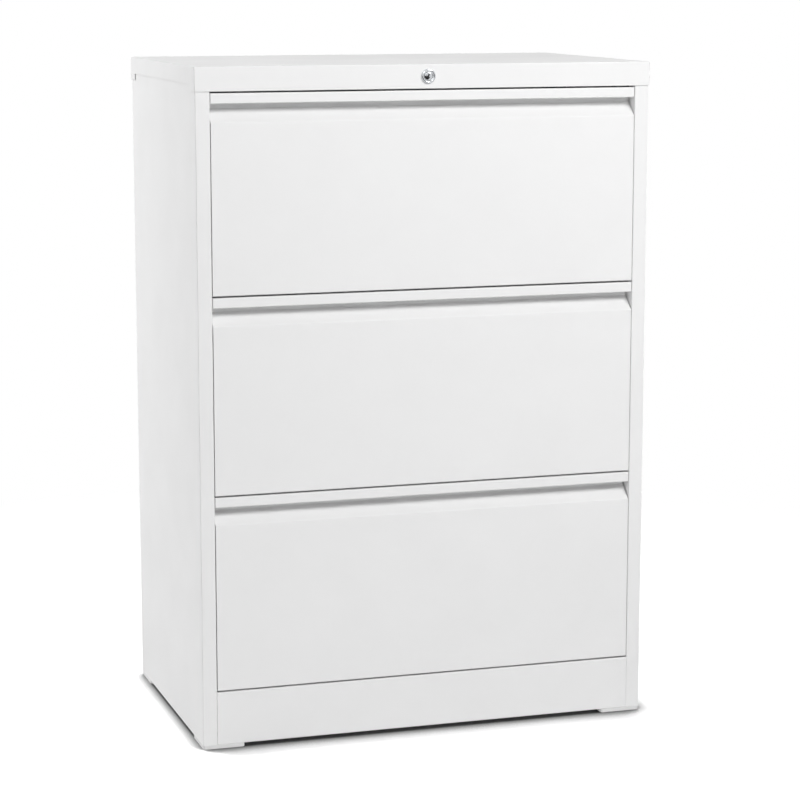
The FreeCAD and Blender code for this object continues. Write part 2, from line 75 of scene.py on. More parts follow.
class Slot(Enum):
    """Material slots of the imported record."""

    COAT = "white_powder_coat"
    ZINC = "zinc_plated_steel"
    CHROME = "chrome"
    PLASTIC = "white_plastic"


class Level(Enum):
    """Drawers, counted from the floor."""

    BOTTOM = "bottom"
    MIDDLE = "middle"
    TOP = "top"


class Axis(Enum):
    """Direction in which a strip of steel was rolled."""

    X = 0
    Y = 1
    Z = 2


class Drive(Enum):
    """What a fastener's head has in its middle."""

    PLAIN = False
    CROSS = True


def linear(code: str) -> tuple[float, float, float, float]:
    """Turn an sRGB colour into linear light.

    Args:
        code: Colour as "#RRGGBB".

    Returns:
        Red, green, blue and alpha from 0 to 1.
    """
    parts = (int(code[at : at + 2], 16) / 255 for at in (1, 3, 5))
    red, green, blue = (p / 12.92 if p <= 0.04045 else ((p + 0.055) / 1.055) ** 2.4 for p in parts)
    return red, green, blue, 1.0


def add_node(
    tree: Tree, kind: str, inputs: dict[str | int, Any] | None = None, **settings: Any
) -> bpy.types.Node:
    """Add a node with its settings, values and links.

    Args:
        tree: Tree that gets the node.
        kind: Blender's type name of the node.
        inputs: Value, or socket to link from, for each input by name or index.
        settings: Properties of the node, set before its inputs.

    Returns:
        The new node.
    """
    node = tree.nodes.new(kind)
    for name, value in settings.items():
        setattr(node, name, value)
    for key, value in (inputs or {}).items():
        if isinstance(value, Socket):
            tree.links.new(value, node.inputs[key])
        else:
            node.inputs[key].default_value = value
    return node


def reckon(tree: Tree, operation: str, *terms: Any, clamp: bool = False) -> Socket:
    """Reckon with numbers or sockets.

    Args:
        tree: Tree that gets the node.
        operation: Blender's name of the operation.
        terms: What it works on, in order.
        clamp: Whether the result is kept from 0 to 1.

    Returns:
        Socket with the result.
    """
    given = dict(enumerate(terms))
    return add_node(
        tree, "ShaderNodeMath", given, operation=operation, use_clamp=clamp
    ).outputs[0]


def spread(
    tree: Tree, value: Socket, source: tuple[Any, Any], target: tuple[Any, Any], **settings: Any
) -> Socket:
    """Map a value from one span to another.

    Args:
        tree: Tree that gets the node.
        value: Socket with the value.
        source: Ends of the span that it comes from.
        target: Ends of the span that it goes to.
        settings: Properties of the node.

    Returns:
        Socket with the mapped value.
    """
    ends = zip(("From Min", "From Max", "To Min", "To Max"), (*source, *target))
    given = {"Value": value, **dict(ends)}
    return add_node(tree, "ShaderNodeMapRange", given, **settings).outputs["Result"]


def blend(tree: Tree, share: Socket, first: Any, second: Any) -> Socket:
    """Mix two colours.

    Args:
        tree: Tree that gets the node.
        share: Share of the second colour.
        first: First colour, or a socket with it.
        second: Second colour, or a socket with it.

    Returns:
        Socket with the mixed colour.
    """
    given = {0: share, 6: first, 7: second}
    return add_node(tree, "ShaderNodeMix", given, data_type="RGBA").outputs[2]


def noise(tree: Tree, spot: Socket, size: float, layers: float) -> Socket:
    """Draw a noise texture.

    Args:
        tree: Tree that gets the node.
        spot: Coordinates that it is drawn in.
        size: Width of its patches, in the coordinates' unit.
        layers: How many finer layers lie on them.

    Returns:
        Socket with the noise.
    """
    given = {"Vector": spot, "Scale": 1 / size, "Detail": layers}
    return add_node(tree, "ShaderNodeTexNoise", given).outputs["Fac"]


def blank(name: str) -> bpy.types.Material:
    """Make a material without any nodes.

    Args:
        name: Name of the material.

    Returns:
        The material.
    """
    made = bpy.data.materials.new(name)
    made.use_nodes = True
    made.node_tree.nodes.clear()
    return made


class Finish:
    """A surface finish: subclasses give its values and paint its nodes.

    Attributes:
        name: Name of the material.
        light: Lighter of its two tones.
        shade: Darker of its two tones.
        gloss: Its lowest and its highest roughness.
    """

    name: str
    light: str
    shade: str
    gloss: tuple[float, float]

    def material(self) -> bpy.types.Material:
        """Build the finish as a material.

        Returns:
            The material, with a Principled shader fed by Object coordinates.
        """
        made = blank(self.name)
        tree = made.node_tree
        shader = add_node(tree, "ShaderNodeBsdfPrincipled")
        add_node(tree, "ShaderNodeOutputMaterial", {"Surface": shader.outputs["BSDF"]})
        self.paint(tree, shader, add_node(tree, "ShaderNodeTexCoord").outputs["Object"])
        return made

    def paint(self, tree: Tree, shader: bpy.types.Node, spot: Socket) -> None:
        """Add this finish's colour, gloss and texture to the shader."""
        raise NotImplementedError

    def tint(self, tree: Tree, shader: bpy.types.Node, share: Socket) -> None:
        """Colour the shader with the two tones, by the darker one's share."""
        tone = blend(tree, share, linear(self.light), linear(self.shade))
        tree.links.new(tone, shader.inputs["Base Color"])

    def polish(self, tree: Tree, shader: bpy.types.Node, texture: Socket) -> None:
        """Let the shader's roughness follow a noise texture."""
        rough = spread(tree, texture, NOISE_SPAN, self.gloss)
        tree.links.new(rough, shader.inputs["Roughness"])

    def emboss(
        self, tree: Tree, shader: bpy.types.Node, height: Socket, relief: tuple[float, float]
    ) -> None:
        """Raise a texture on the surface.

        Args:
            tree: Node tree of the material.
            shader: Its Principled shader.
            height: Socket with the texture.
            relief: Strength of the relief from 0 to 1, and its depth in mm.
        """
        strength, depth = relief
        given = {"Height": height, "Strength": strength, "Distance": depth * MM}
        bump = add_node(tree, "ShaderNodeBump", given)
        tree.links.new(bump.outputs["Normal"], shader.inputs["Normal"])


@dataclass(frozen=True)
class PowderCoat(Finish):
    """White polyester powder, sprayed on sheet steel and baked.

    The film flows into a faint orange peel with a satin gloss, and its thickness varies from
    place to place, which the eye sees as soft clouds in tone and gloss.
    """

    name: str = "white_polyester_powder_coat"
    light: str = "#F5F5F5"
    shade: str = "#F0F0F0"
    gloss: tuple[float, float] = (0.36, 0.46)
    cloud: float = 90.0
    cloud_layers: float = 3.0
    # Real orange peel is about 1 mm across; drawn at 3.5 mm so that it shows.
    peel: float = 3.5
    peel_layers: float = 1.0
    peel_relief: tuple[float, float] = (1.0, 0.012)
    refraction: float = 1.5

    def paint(self, tree: Tree, shader: bpy.types.Node, spot: Socket) -> None:
        """Cloud the tone and gloss, and raise the orange peel.

        Args:
            tree: Node tree of the material.
            shader: Its Principled shader.
            spot: Object coordinates.
        """
        clouds = noise(tree, spot, self.cloud * MM, self.cloud_layers)
        self.tint(tree, shader, clouds)
        self.polish(tree, shader, clouds)
        peel = noise(tree, spot, self.peel * MM, self.peel_layers)
        self.emboss(tree, shader, peel, self.peel_relief)
        shader.inputs["IOR"].default_value = self.refraction


@dataclass(frozen=True)
class ZincPlate(Finish):
    """Cold-rolled steel strip, folded or roll-formed and plated with bright zinc.

    The plating is a cool grey metal that follows the fine lines of the rolling, so it shows
    soft streaks along the strip and dull patches where the bath left it thicker.
    """

    rolled: Axis = Axis.Y
    light: str = "#C6CACE"
    shade: str = "#AAB0B6"
    gloss: tuple[float, float] = (0.26, 0.42)
    # Rolling lines are about 0.1 mm wide; drawn at 1.2 mm, and 60 mm long, so that they show.
    streak: float = 1.2
    streak_length: float = 60.0
    streak_layers: float = 3.0
    streak_relief: tuple[float, float] = (0.5, 0.01)
    patch: float = 45.0
    patch_layers: float = 4.0

    @property
    def name(self) -> str:
        """Name of the material, with the rolling direction."""
        return f"bright_zinc_plated_strip_rolled_{self.rolled.name.lower()}"

    def paint(self, tree: Tree, shader: bpy.types.Node, spot: Socket) -> None:
        """Draw the rolling streaks and the dull patches of the plating.

        Args:
            tree: Node tree of the material.
            shader: Its Principled shader.
            spot: Object coordinates.
        """
        stretch = [1 / (self.streak * MM)] * 3
        stretch[self.rolled.value] = 1 / (self.streak_length * MM)
        drawn = add_node(tree, "ShaderNodeMapping", {"Vector": spot, "Scale": stretch})
        streaks = noise(tree, drawn.outputs["Vector"], 1.0, self.streak_layers)
        self.tint(tree, shader, noise(tree, spot, self.patch * MM, self.patch_layers))
        self.polish(tree, shader, streaks)
        self.emboss(tree, shader, streaks, self.streak_relief)
        shader.inputs["Metallic"].default_value = 1.0


@dataclass(frozen=True)
class Chrome(Finish):
    """Die-cast zinc, polished and plated with bright chrome.

    It mirrors the room almost sharply, and keys and fingers leave it a little hazy.
    """

    name: str = "bright_chrome_on_polished_die_cast_zinc"
    light: str = "#D4D6D8"
    shade: str = "#BEC2C6"
    gloss: tuple[float, float] = (0.06, 0.16)
    haze: float = 4.0
    haze_layers: float = 3.0

    def paint(self, tree: Tree, shader: bpy.types.Node, spot: Socket) -> None:
        """Haze the mirror finish.

        Args:
            tree: Node tree of the material.
            shader: Its Principled shader.
            spot: Object coordinates.
        """
        haze = noise(tree, spot, self.haze * MM, self.haze_layers)
        self.tint(tree, shader, haze)
        self.polish(tree, shader, haze)
        shader.inputs["Metallic"].default_value = 1.0


@dataclass(frozen=True)
class MouldedPlastic(Finish):
    """Polypropylene, injection-moulded in a spark-eroded tool.

    The tool's fine pits leave a dry, even matt surface with a slightly uneven tone.
    """

    name: str = "white_moulded_polypropylene"
    light: str = "#EAEAEA"
    shade: str = "#DFDFDF"
    gloss: tuple[float, float] = (0.48, 0.6)
    flow: float = 18.0
    flow_layers: float = 2.0
    # Spark-eroded pits are about 0.1 mm across; drawn at 0.9 mm so that they show.
    pit: float = 0.9
    pit_layers: float = 0.0
    pit_relief: tuple[float, float] = (0.6, 0.02)
    refraction: float = 1.49

    def paint(self, tree: Tree, shader: bpy.types.Node, spot: Socket) -> None:
        """Vary the tone with the melt's flow, and pit the surface.

        Args:
            tree: Node tree of the material.
            shader: Its Principled shader.
            spot: Object coordinates.
        """
        flow = noise(tree, spot, self.flow * MM, self.flow_layers)
        self.tint(tree, shader, flow)
        self.polish(tree, shader, flow)
        pits = noise(tree, spot, self.pit * MM, self.pit_layers)
        self.emboss(tree, shader, pits, self.pit_relief)
        shader.inputs["IOR"].default_value = self.refraction


class Palette:
    """The cabinet's finishes, one material for each slot and rolling direction."""

    def __init__(self) -> None:
        """Build every material once."""
        self.coat = PowderCoat().material()
        self.chrome = Chrome().material()
        self.plastic = MouldedPlastic().material()
        self.zinc = {axis: ZincPlate(rolled=axis).material() for axis in Axis}

    def pick(self, slot: Slot, rolled: Axis) -> bpy.types.Material:
        """Choose the material of a node.

        Args:
            slot: Slot that the record gives the node.
            rolled: Direction in which its strip was rolled.

        Returns:
            The material.
        """
        plain = {Slot.COAT: self.coat, Slot.CHROME: self.chrome, Slot.PLASTIC: self.plastic}
        return plain.get(slot) or self.zinc[rolled]

    def dress(self) -> None:
        """Give every node of the frame the finish of its slot."""
        for entry in frame["record"]["subparts"]:
            node = entry["node"]
            low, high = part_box(node)
            size = high - low
            rolled = Axis(max(range(3), key=lambda at: size[at]))
            shape = frame["nodes"][node].data
            shape.materials.clear()
            shape.materials.append(self.pick(Slot(entry["material_slot"]), rolled))


def circle(radius: float, sides: int) -> Profile:
    """Draw a circle about the origin.

    Args:
        radius: Its radius.
        sides: How many points it gets.

    Returns:
        The points, in the radius's unit.
    """
    angles = [math.tau * at / sides for at in range(sides)]
    return [(radius * math.cos(angle), radius * math.sin(angle)) for angle in angles]


def loft(rings: list[Ring], closed: bool = False) -> bpy.types.Mesh:
    """Skin rings of equal length into a shell.

    Args:
        rings: Rings of points in metres, in order along the shell.
        closed: Join the last ring to the first, in place of two flat ends.

    Returns:
        Mesh with its faces pointing outwards.
    """
    shell = bmesh.new()
    loops = [[shell.verts.new(point) for point in ring] for ring in rings]
    pairs = list(zip(loops, loops[1:]))
    if closed:
        pairs.append((loops[-1], loops[0]))
    else:
        shell.faces.new(loops[0])
        shell.faces.new(loops[-1])
    for one, two in pairs:
        for at in range(len(one)):
            shell.faces.new((one[at - 1], one[at], two[at], two[at - 1]))
    bmesh.ops.recalc_face_normals(shell, faces=shell.faces)
    mesh = bpy.data.meshes.new("shell")
    shell.to_mesh(mesh)
    shell.free()
    return mesh


def join(*parts: bpy.types.Mesh) -> bpy.types.Mesh:
    """Put several shells into one mesh.

    Args:
        parts: Shells, which are used up.

    Returns:
        The mesh that holds them all.
    """
    whole = bmesh.new()
    for part in parts:
        whole.from_mesh(part)
        bpy.data.meshes.remove(part)
    mesh = bpy.data.meshes.new("joined")
    whole.to_mesh(mesh)
    whole.free()
    return mesh


def show(name: str, data: bpy.types.ID) -> bpy.types.Object:
    """Put a mesh, lamp or camera into the scene.

    Args:
        name: Name of the object.
        data: What it shows.

    Returns:
        The object.
    """
    made = bpy.data.objects.new(name, data)
    bpy.context.scene.collection.objects.link(made)
    return made


def settle(work: bpy.types.Object) -> bpy.types.Mesh:
    """Give what an object's modifiers make of it as a plain mesh."""
    graph = bpy.context.evaluated_depsgraph_get()
    return bpy.data.meshes.new_from_object(work.evaluated_get(graph))


def carve(mesh: bpy.types.Mesh, tool: bpy.types.Mesh) -> bpy.types.Mesh:
    """Cut one shell out of another.

    Args:
        mesh: Shell that is cut, and used up.
        tool: Shell that is taken away, and used up.

    Returns:
        What is left.
    """
    work, cutter = (show("cut", shell) for shell in (mesh, tool))
    cut = work.modifiers.new("cut", "BOOLEAN")
    cut.operation, cut.solver, cut.object = "DIFFERENCE", "EXACT", cutter
    left = settle(work)
    for piece in (work, cutter):
        bpy.data.objects.remove(piece)
    for shell in (mesh, tool):
        bpy.data.meshes.remove(shell)
    return left


def place(
    name: str,
    mesh: bpy.types.Mesh,
    material: bpy.types.Material,
    body: str,
    slot: Slot,
    stands_for: tuple[str, ...] = (),
) -> None:
    """Make a finished piece of a mesh and hang it on its body.

    Args:
        name: Name of the piece.
        mesh: Its mesh, in place, in metres.
        material: Its finish.
        body: Body that it moves with.
        slot: Slot of the record that its finish belongs to; not used.
        stands_for: Nodes that it is shown in place of.
    """
    mesh.name = name
    mesh.materials.clear()
    mesh.materials.append(material)
    mesh.shade_smooth()
    mesh.set_sharp_from_angle(angle=math.radians(CREASE))
    piece = show(name, mesh)
    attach(piece, body)
    if stands_for:
        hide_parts(*stands_for)
    LOG.info("%s: %d faces on %s", name, len(mesh.polygons), body)


@dataclass
class FastenerHeads:
    """Pan heads of screws and rivets, set in rows by one Geometry Nodes tree.

    Attributes:
        diameter: Width of a head in mm.
        height: Height of a head in mm.
        drive: What the head has in its middle.
        seed: Seed of the chance by which each head is turned about its axis.
        spots: Places of the heads in metres.
        facings: Directions that the heads face.
    """

    diameter: float
    height: float
    drive: Drive
    seed: int = 7
    spots: list[Vector] = field(default_factory=list)
    facings: list[Vector] = field(default_factory=list)

    TREE = "fastener_heads"
    SEGMENTS, RINGS = 16, 8
    # Power by which the ball is pressed: the higher, the flatter the head.
    FLATNESS = 3.0
    # Length and width of the cross in head diameters, and twice its depth in head heights.
    CROSS_LENGTH, CROSS_WIDTH, CROSS_BLOCK = 0.52, 0.13, 1.2

    def add(self, x: float, y: float, z: float, facing: tuple[int, int, int]) -> None:
        """Set a head on the surface at a place in metres, facing away from it."""
        self.spots.append(Vector((x, y, z)))
        self.facings.append(Vector(facing))

    @classmethod
    def tree(cls) -> Tree:
        """Give the tree that turns points into heads, built on first use.

        Returns:
            The tree, with inputs for the head's sizes, drive, seed and finish.
        """
        made = bpy.data.node_groups.get(cls.TREE)
        if made:
            return made
        made = bpy.data.node_groups.new(cls.TREE, "GeometryNodeTree")
        plugs = {
            "Points": "NodeSocketGeometry",
            "Diameter": "NodeSocketFloat",
            "Height": "NodeSocketFloat",
            "Cross": "NodeSocketBool",
            "Seed": "NodeSocketInt",
            "Finish": "NodeSocketMaterial",
        }
        for name, kind in plugs.items():
            made.interface.new_socket(name, in_out="INPUT", socket_type=kind)
        made.interface.new_socket("Heads", in_out="OUTPUT", socket_type="NodeSocketGeometry")
        given = add_node(made, "NodeGroupInput").outputs
        head = cls.head(made, given["Diameter"], given["Height"], given["Cross"])
        facing = add_node(
            made, "GeometryNodeInputNamedAttribute", {"Name": "facing"}, data_type="FLOAT_VECTOR"
        ).outputs["Attribute"]
        upright = add_node(
            made, "FunctionNodeAlignRotationToVector", {"Vector": facing}, axis="Z"
        ).outputs["Rotation"]
        chance = {"Seed": given["Seed"], 2: 0.0, 3: math.tau}
        turn = add_node(made, "FunctionNodeRandomValue", chance, data_type="FLOAT").outputs[1]
        spin = add_node(
            made, "FunctionNodeAxisAngleToRotation", {"Axis": (0, 0, 1), "Angle": turn}
        ).outputs["Rotation"]
        rotation = add_node(
            made,
            "FunctionNodeRotateRotation",
            {"Rotation": upright, "Rotate By": spin},
            rotation_space="LOCAL",
        ).outputs["Rotation"]
        heads = add_node(
            made,
            "GeometryNodeInstanceOnPoints",
            {"Points": given["Points"], "Instance": head, "Rotation": rotation},
        ).outputs["Instances"]
        real = add_node(made, "GeometryNodeRealizeInstances", {"Geometry": heads}).outputs[0]
        dressed = add_node(
            made, "GeometryNodeSetMaterial", {"Geometry": real, "Material": given["Finish"]}
        )
        add_node(made, "NodeGroupOutput", {"Heads": dressed.outputs["Geometry"]})
        return made

    @classmethod
    def head(cls, tree: Tree, diameter: Socket, height: Socket, cross: Socket) -> Socket:
        """Shape one head: a ball pressed to a flat-topped dome, with or without a cross cut in.

        Args:
            tree: Tree that gets the nodes.
            diameter: Width of the head in metres.
            height: Height of the head in metres.
            cross: Whether the cross is cut.

        Returns:
            Socket with the head's mesh.
        """
        radius = reckon(tree, "MULTIPLY", diameter, 0.5)
        round_ball = {"Segments": cls.SEGMENTS, "Rings": cls.RINGS, "Radius": radius}
        ball = add_node(tree, "GeometryNodeMeshUVSphere", round_ball).outputs["Mesh"]
        where = add_node(tree, "GeometryNodeInputPosition").outputs[0]
        spot = add_node(tree, "ShaderNodeSeparateXYZ", {0: where}).outputs
        share = reckon(tree, "DIVIDE", spot["Z"], radius, clamp=True)
        fall = reckon(tree, "POWER", reckon(tree, "SUBTRACT", 1.0, share), cls.FLATNESS)
        rise = reckon(tree, "MULTIPLY", reckon(tree, "SUBTRACT", 1.0, fall), height)
        pressed = add_node(
            tree, "ShaderNodeCombineXYZ", {"X": spot["X"], "Y": spot["Y"], "Z": rise}
        ).outputs[0]
        dome = add_node(
            tree, "GeometryNodeSetPosition", {"Geometry": ball, "Position": pressed}
        ).outputs[0]
        long = reckon(tree, "MULTIPLY", diameter, cls.CROSS_LENGTH)
        wide = reckon(tree, "MULTIPLY", diameter, cls.CROSS_WIDTH)
        deep = reckon(tree, "MULTIPLY", height, cls.CROSS_BLOCK)
        arms = add_node(tree, "GeometryNodeMeshBoolean", operation="UNION", solver="EXACT")
        for x, y in ((long, wide), (wide, long)):
            size = add_node(tree, "ShaderNodeCombineXYZ", {"X": x, "Y": y, "Z": deep}).outputs[0]
            blade = add_node(tree, "GeometryNodeMeshCube", {"Size": size}).outputs["Mesh"]
            tree.links.new(blade, arms.inputs["Mesh 2"])
        lift = add_node(tree, "ShaderNodeCombineXYZ", {"Z": height}).outputs[0]
        raised = add_node(
            tree,
            "GeometryNodeTransform",
            {"Geometry": arms.outputs["Mesh"], "Translation": lift},
        ).outputs["Geometry"]
        slotted = add_node(
            tree, "GeometryNodeMeshBoolean", operation="DIFFERENCE", solver="EXACT"
        )
        tree.links.new(dome, slotted.inputs["Mesh 1"])
        tree.links.new(raised, slotted.inputs["Mesh 2"])
        choice = {"Switch": cross, "False": dome, "True": slotted.outputs["Mesh"]}
        chosen = add_node(tree, "GeometryNodeSwitch", choice, input_type="GEOMETRY")
        return chosen.outputs["Output"]

    def build(self, name: str, material: bpy.types.Material, body: str) -> None:
        """Make all heads as one plain mesh that rides on a body.

        Args:
            name: Name of the piece.
            material: Finish of the heads.
            body: Body that they move with.
        """
        points = bpy.data.meshes.new("points")
        points.from_pydata(self.spots, [], [])
        facing = points.attributes.new("facing", "FLOAT_VECTOR", "POINT")
        facing.data.foreach_set("vector", [value for one in self.facings for value in one])
        work = show("points", points)
        maker = work.modifiers.new("heads", "NODES")
        maker.node_group = self.tree()
        values = {
            "Diameter": self.diameter * MM,
            "Height": self.height * MM,
            "Cross": self.drive.value,
            "Seed": self.seed,
            "Finish": material,
        }
        for socket in self.tree().interface.items_tree:
            if socket.name in values:
                maker[socket.identifier] = values[socket.name]
        work.update_tag()
        heads = settle(work)
        work.modifiers.clear()
        bpy.data.objects.remove(work)
        bpy.data.meshes.remove(points)
        place(name, heads, material, body, Slot.ZINC)


@dataclass
class Case:
    """Shell of the cabinet: the screws that hold the back panel in the side panels."""

    head: float = 8.0
    head_height: float = 1.3
    inset: float = 10.0
    first: float = 70.0
    last: float = 60.0
    rows: int = 6

    def build(self, palette: Palette) -> None:
        """Set a row of screws in each rear flange.

        Args:
            palette: Finishes of the cabinet.
        """
        screws = FastenerHeads(self.head, self.head_height, Drive.CROSS)
        for side, sign in (("left_side_panel", -1), ("right_side_panel", 1)):
            low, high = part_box(side)
            edge = low.x if sign < 0 else high.x
            bottom, top = low.z + self.first * MM, high.z - self.last * MM
            for row in range(self.rows):
                z = bottom + (top - bottom) * row / (self.rows - 1)
                screws.add(edge - sign * self.inset * MM, high.y, z, (0, 1, 0))
        screws.build("back_panel_screws", palette.zinc[Axis.Z], "cabinet")


@dataclass
class Feet:
    """Low moulded pads under the corners, each with a peg that snaps into the side panel."""

    pad_height: float = 6.0
    corner: float = 4.0
    corner_steps: int = 6
    # Size of the broken edge, and the share of it at which the edge bends.
    edge: float = 0.9
    edge_bend: float = 0.3
    peg_radius: float = 5.0
    peg_sides: int = 24
    peg_from_side: float = 11.0
    peg_from_face: float = 26.0
    # Points of the barbed head: share of the peg's radius, and distance below its tip.
    barb: tuple[tuple[float, float], ...] = (
        (1.0, 9.0),
        (0.82, 8.6),
        (0.82, 7.2),
        (1.0, 6.4),
        (0.97, 4.0),
        (0.6, 0.0),
    )
    pocket_depth: float = 3.6
    # How far the pockets' cutters reach out of the pad.
    overcut: float = 1.0
    rib: float = 2.4
    pockets: int = 4

    def rounded(self, low: Vector, high: Vector, shrink: float, z: float) -> Ring:
        """Draw a rectangle with round corners.

        Args:
            low: Lowest corner of the full pad in metres.
            high: Highest corner of the full pad in metres.
            shrink: How far the outline lies inside the pad in metres.
            z: Height of the outline in metres.

        Returns:
            The outline's points.
        """
        corner = self.corner * MM
        radius = corner - shrink
        left, right = low.x + corner, high.x - corner
        front, rear = low.y + corner, high.y - corner
        ring: Ring = []
        for at, (x, y) in enumerate(((right, rear), (left, rear), (left, front), (right, front))):
            for step in range(self.corner_steps + 1):
                angle = math.pi / 2 * (at + step / self.corner_steps)
                ring.append((x + radius * math.cos(angle), y + radius * math.sin(angle), z))
        return ring

    def pad(self, low: Vector, high: Vector) -> bpy.types.Mesh:
        """Mould a pad with broken edges and ribbed pockets in its underside.

        Args:
            low: Lowest corner of the foot in metres.
            high: Highest corner of the foot in metres.

        Returns:
            Mesh of the pad.
        """
        edge, top = self.edge * MM, self.pad_height * MM
        bend = edge * self.edge_bend
        under = [(edge, 0), (bend, bend), (0, edge)]
        over = [(0, top - edge), (bend, top - bend), (edge, top)]
        levels = under + over
        whole = loft([self.rounded(low, high, shrink, low.z + z) for shrink, z in levels])
        rib = self.rib * MM
        rim = 2 * rib
        wide = (high.x - low.x - 2 * rim + rib) / self.pockets
        deep = (high.y - low.y - 2 * rim + rib) / self.pockets
        heights = (low.z - self.overcut * MM, low.z + self.pocket_depth * MM)
        pockets = []
        for column in range(self.pockets):
            for row in range(self.pockets):
                x, y = low.x + rim + column * wide, low.y + rim + row * deep
                far_x, far_y = x + wide - rib, y + deep - rib
                corners = ((x, y), (far_x, y), (far_x, far_y), (x, far_y))
                pockets.append(loft([[(*corner, z) for corner in corners] for z in heights]))
        return carve(whole, join(*pockets))

    def peg(self, x: float, y: float, low: float, high: float) -> bpy.types.Mesh:
        """Mould a peg with a barbed, chamfered head.

        Args:
            x: Place of its axis across the cabinet in metres.
            y: Place of its axis along the cabinet in metres.
            low: Height of its root in metres.
            high: Height of its tip in metres.

        Returns:
            Mesh of the peg.
        """
        radius = self.peg_radius * MM
        head = [(radius * share, high - below * MM) for share, below in self.barb]
        return loft(
            [
                [(x + across, y + along, z) for across, along in circle(wide, self.peg_sides)]
                for wide, z in [(radius, low), *head]
            ]
        )

    def build(self, palette: Palette) -> None:
        """Mould the four feet in place of their solids.

        Args:
            palette: Finishes of the cabinet.
        """
        across, along = self.peg_from_side * MM, self.peg_from_face * MM
        for end in ("front", "rear"):
            for side in ("left", "right"):
                node = f"{end}_{side}_foot"
                low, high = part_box(node)
                x = low.x + across if side == "left" else high.x - across
                y = low.y + along if end == "front" else high.y - along
                peg = self.peg(x, y, low.z + self.pad_height * MM, high.z)
                foot = join(self.pad(low, high), peg)
                name = f"{end}_{side}_moulded_foot"
                place(name, foot, palette.plastic, "cabinet", Slot.PLASTIC, (node,))


@dataclass
class Drawer:
    """One drawer: the screws of its front, the screws of its slides and the rivets of its catch.

    The size of a fastener is the diameter and the height of its head.
    """

    level: Level
    sheet: float = 0.8
    slide_gauge: float = 1.2
    catch_gauge: float = 1.5
    front_screw: tuple[float, float] = (9.0, 1.9)
    front_seed: int = 11
    front_across: tuple[float, ...] = (-280.0, -95.0, 95.0, 280.0)
    front_up: tuple[float, ...] = (36.0, 196.0)
    slide_screw: tuple[float, float] = (7.0, 1.6)
    slide_seed: int = 5
    slide_along: tuple[float, ...] = (28.0, 150.0, 270.0, 370.0)
    catch_rivet: tuple[float, float] = (4.8, 1.1)
    rivet_up: tuple[float, ...] = (5.0, 15.0)

    def build(self, palette: Palette) -> None:
        """Set the drawer's screws and rivets.

        Args:
            palette: Finishes of the cabinet.
        """
        level, body = self.level.value, f"{self.level.value}_drawer"
        screws = FastenerHeads(*self.front_screw, Drive.CROSS, seed=self.front_seed)
        low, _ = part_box(f"{level}_drawer_tray")
        for x in self.front_across:
            for up in self.front_up:
                screws.add(x * MM, low.y + self.sheet * MM, low.z + up * MM, (0, 1, 0))
        screws.build(f"{level}_front_screws", palette.zinc[Axis.X], body)
        self.slide_screws(palette, body)
        rivets = FastenerHeads(*self.catch_rivet, Drive.PLAIN)
        low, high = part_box(f"{level}_lock_catch")
        gauge = self.catch_gauge * MM
        for up in self.rivet_up:
            rivets.add(low.x + gauge, (low.y + gauge + high.y) / 2, low.z + up * MM, (1, 0, 0))
        rivets.build(f"{level}_catch_rivets", palette.zinc[Axis.Y], body)

    def slide_screws(self, palette: Palette, body: str) -> None:
        """Screw the inner slide channels to the drawer's sides.

        Args:
            palette: Finishes of the cabinet.
            body: Body of the drawer.
        """
        screws = FastenerHeads(*self.slide_screw, Drive.CROSS, seed=self.slide_seed)
        for side, sign in (("left", -1), ("right", 1)):
            low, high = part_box(f"{self.level.value}_slide_inner_{side}")
            web = (low.x if sign > 0 else high.x) + sign * self.slide_gauge * MM
            for along in self.slide_along:
                screws.add(web, low.y + along * MM, (low.z + high.z) / 2, (sign, 0, 0))
        screws.build(f"{self.level.value}_slide_screws", palette.zinc[Axis.Y], body)


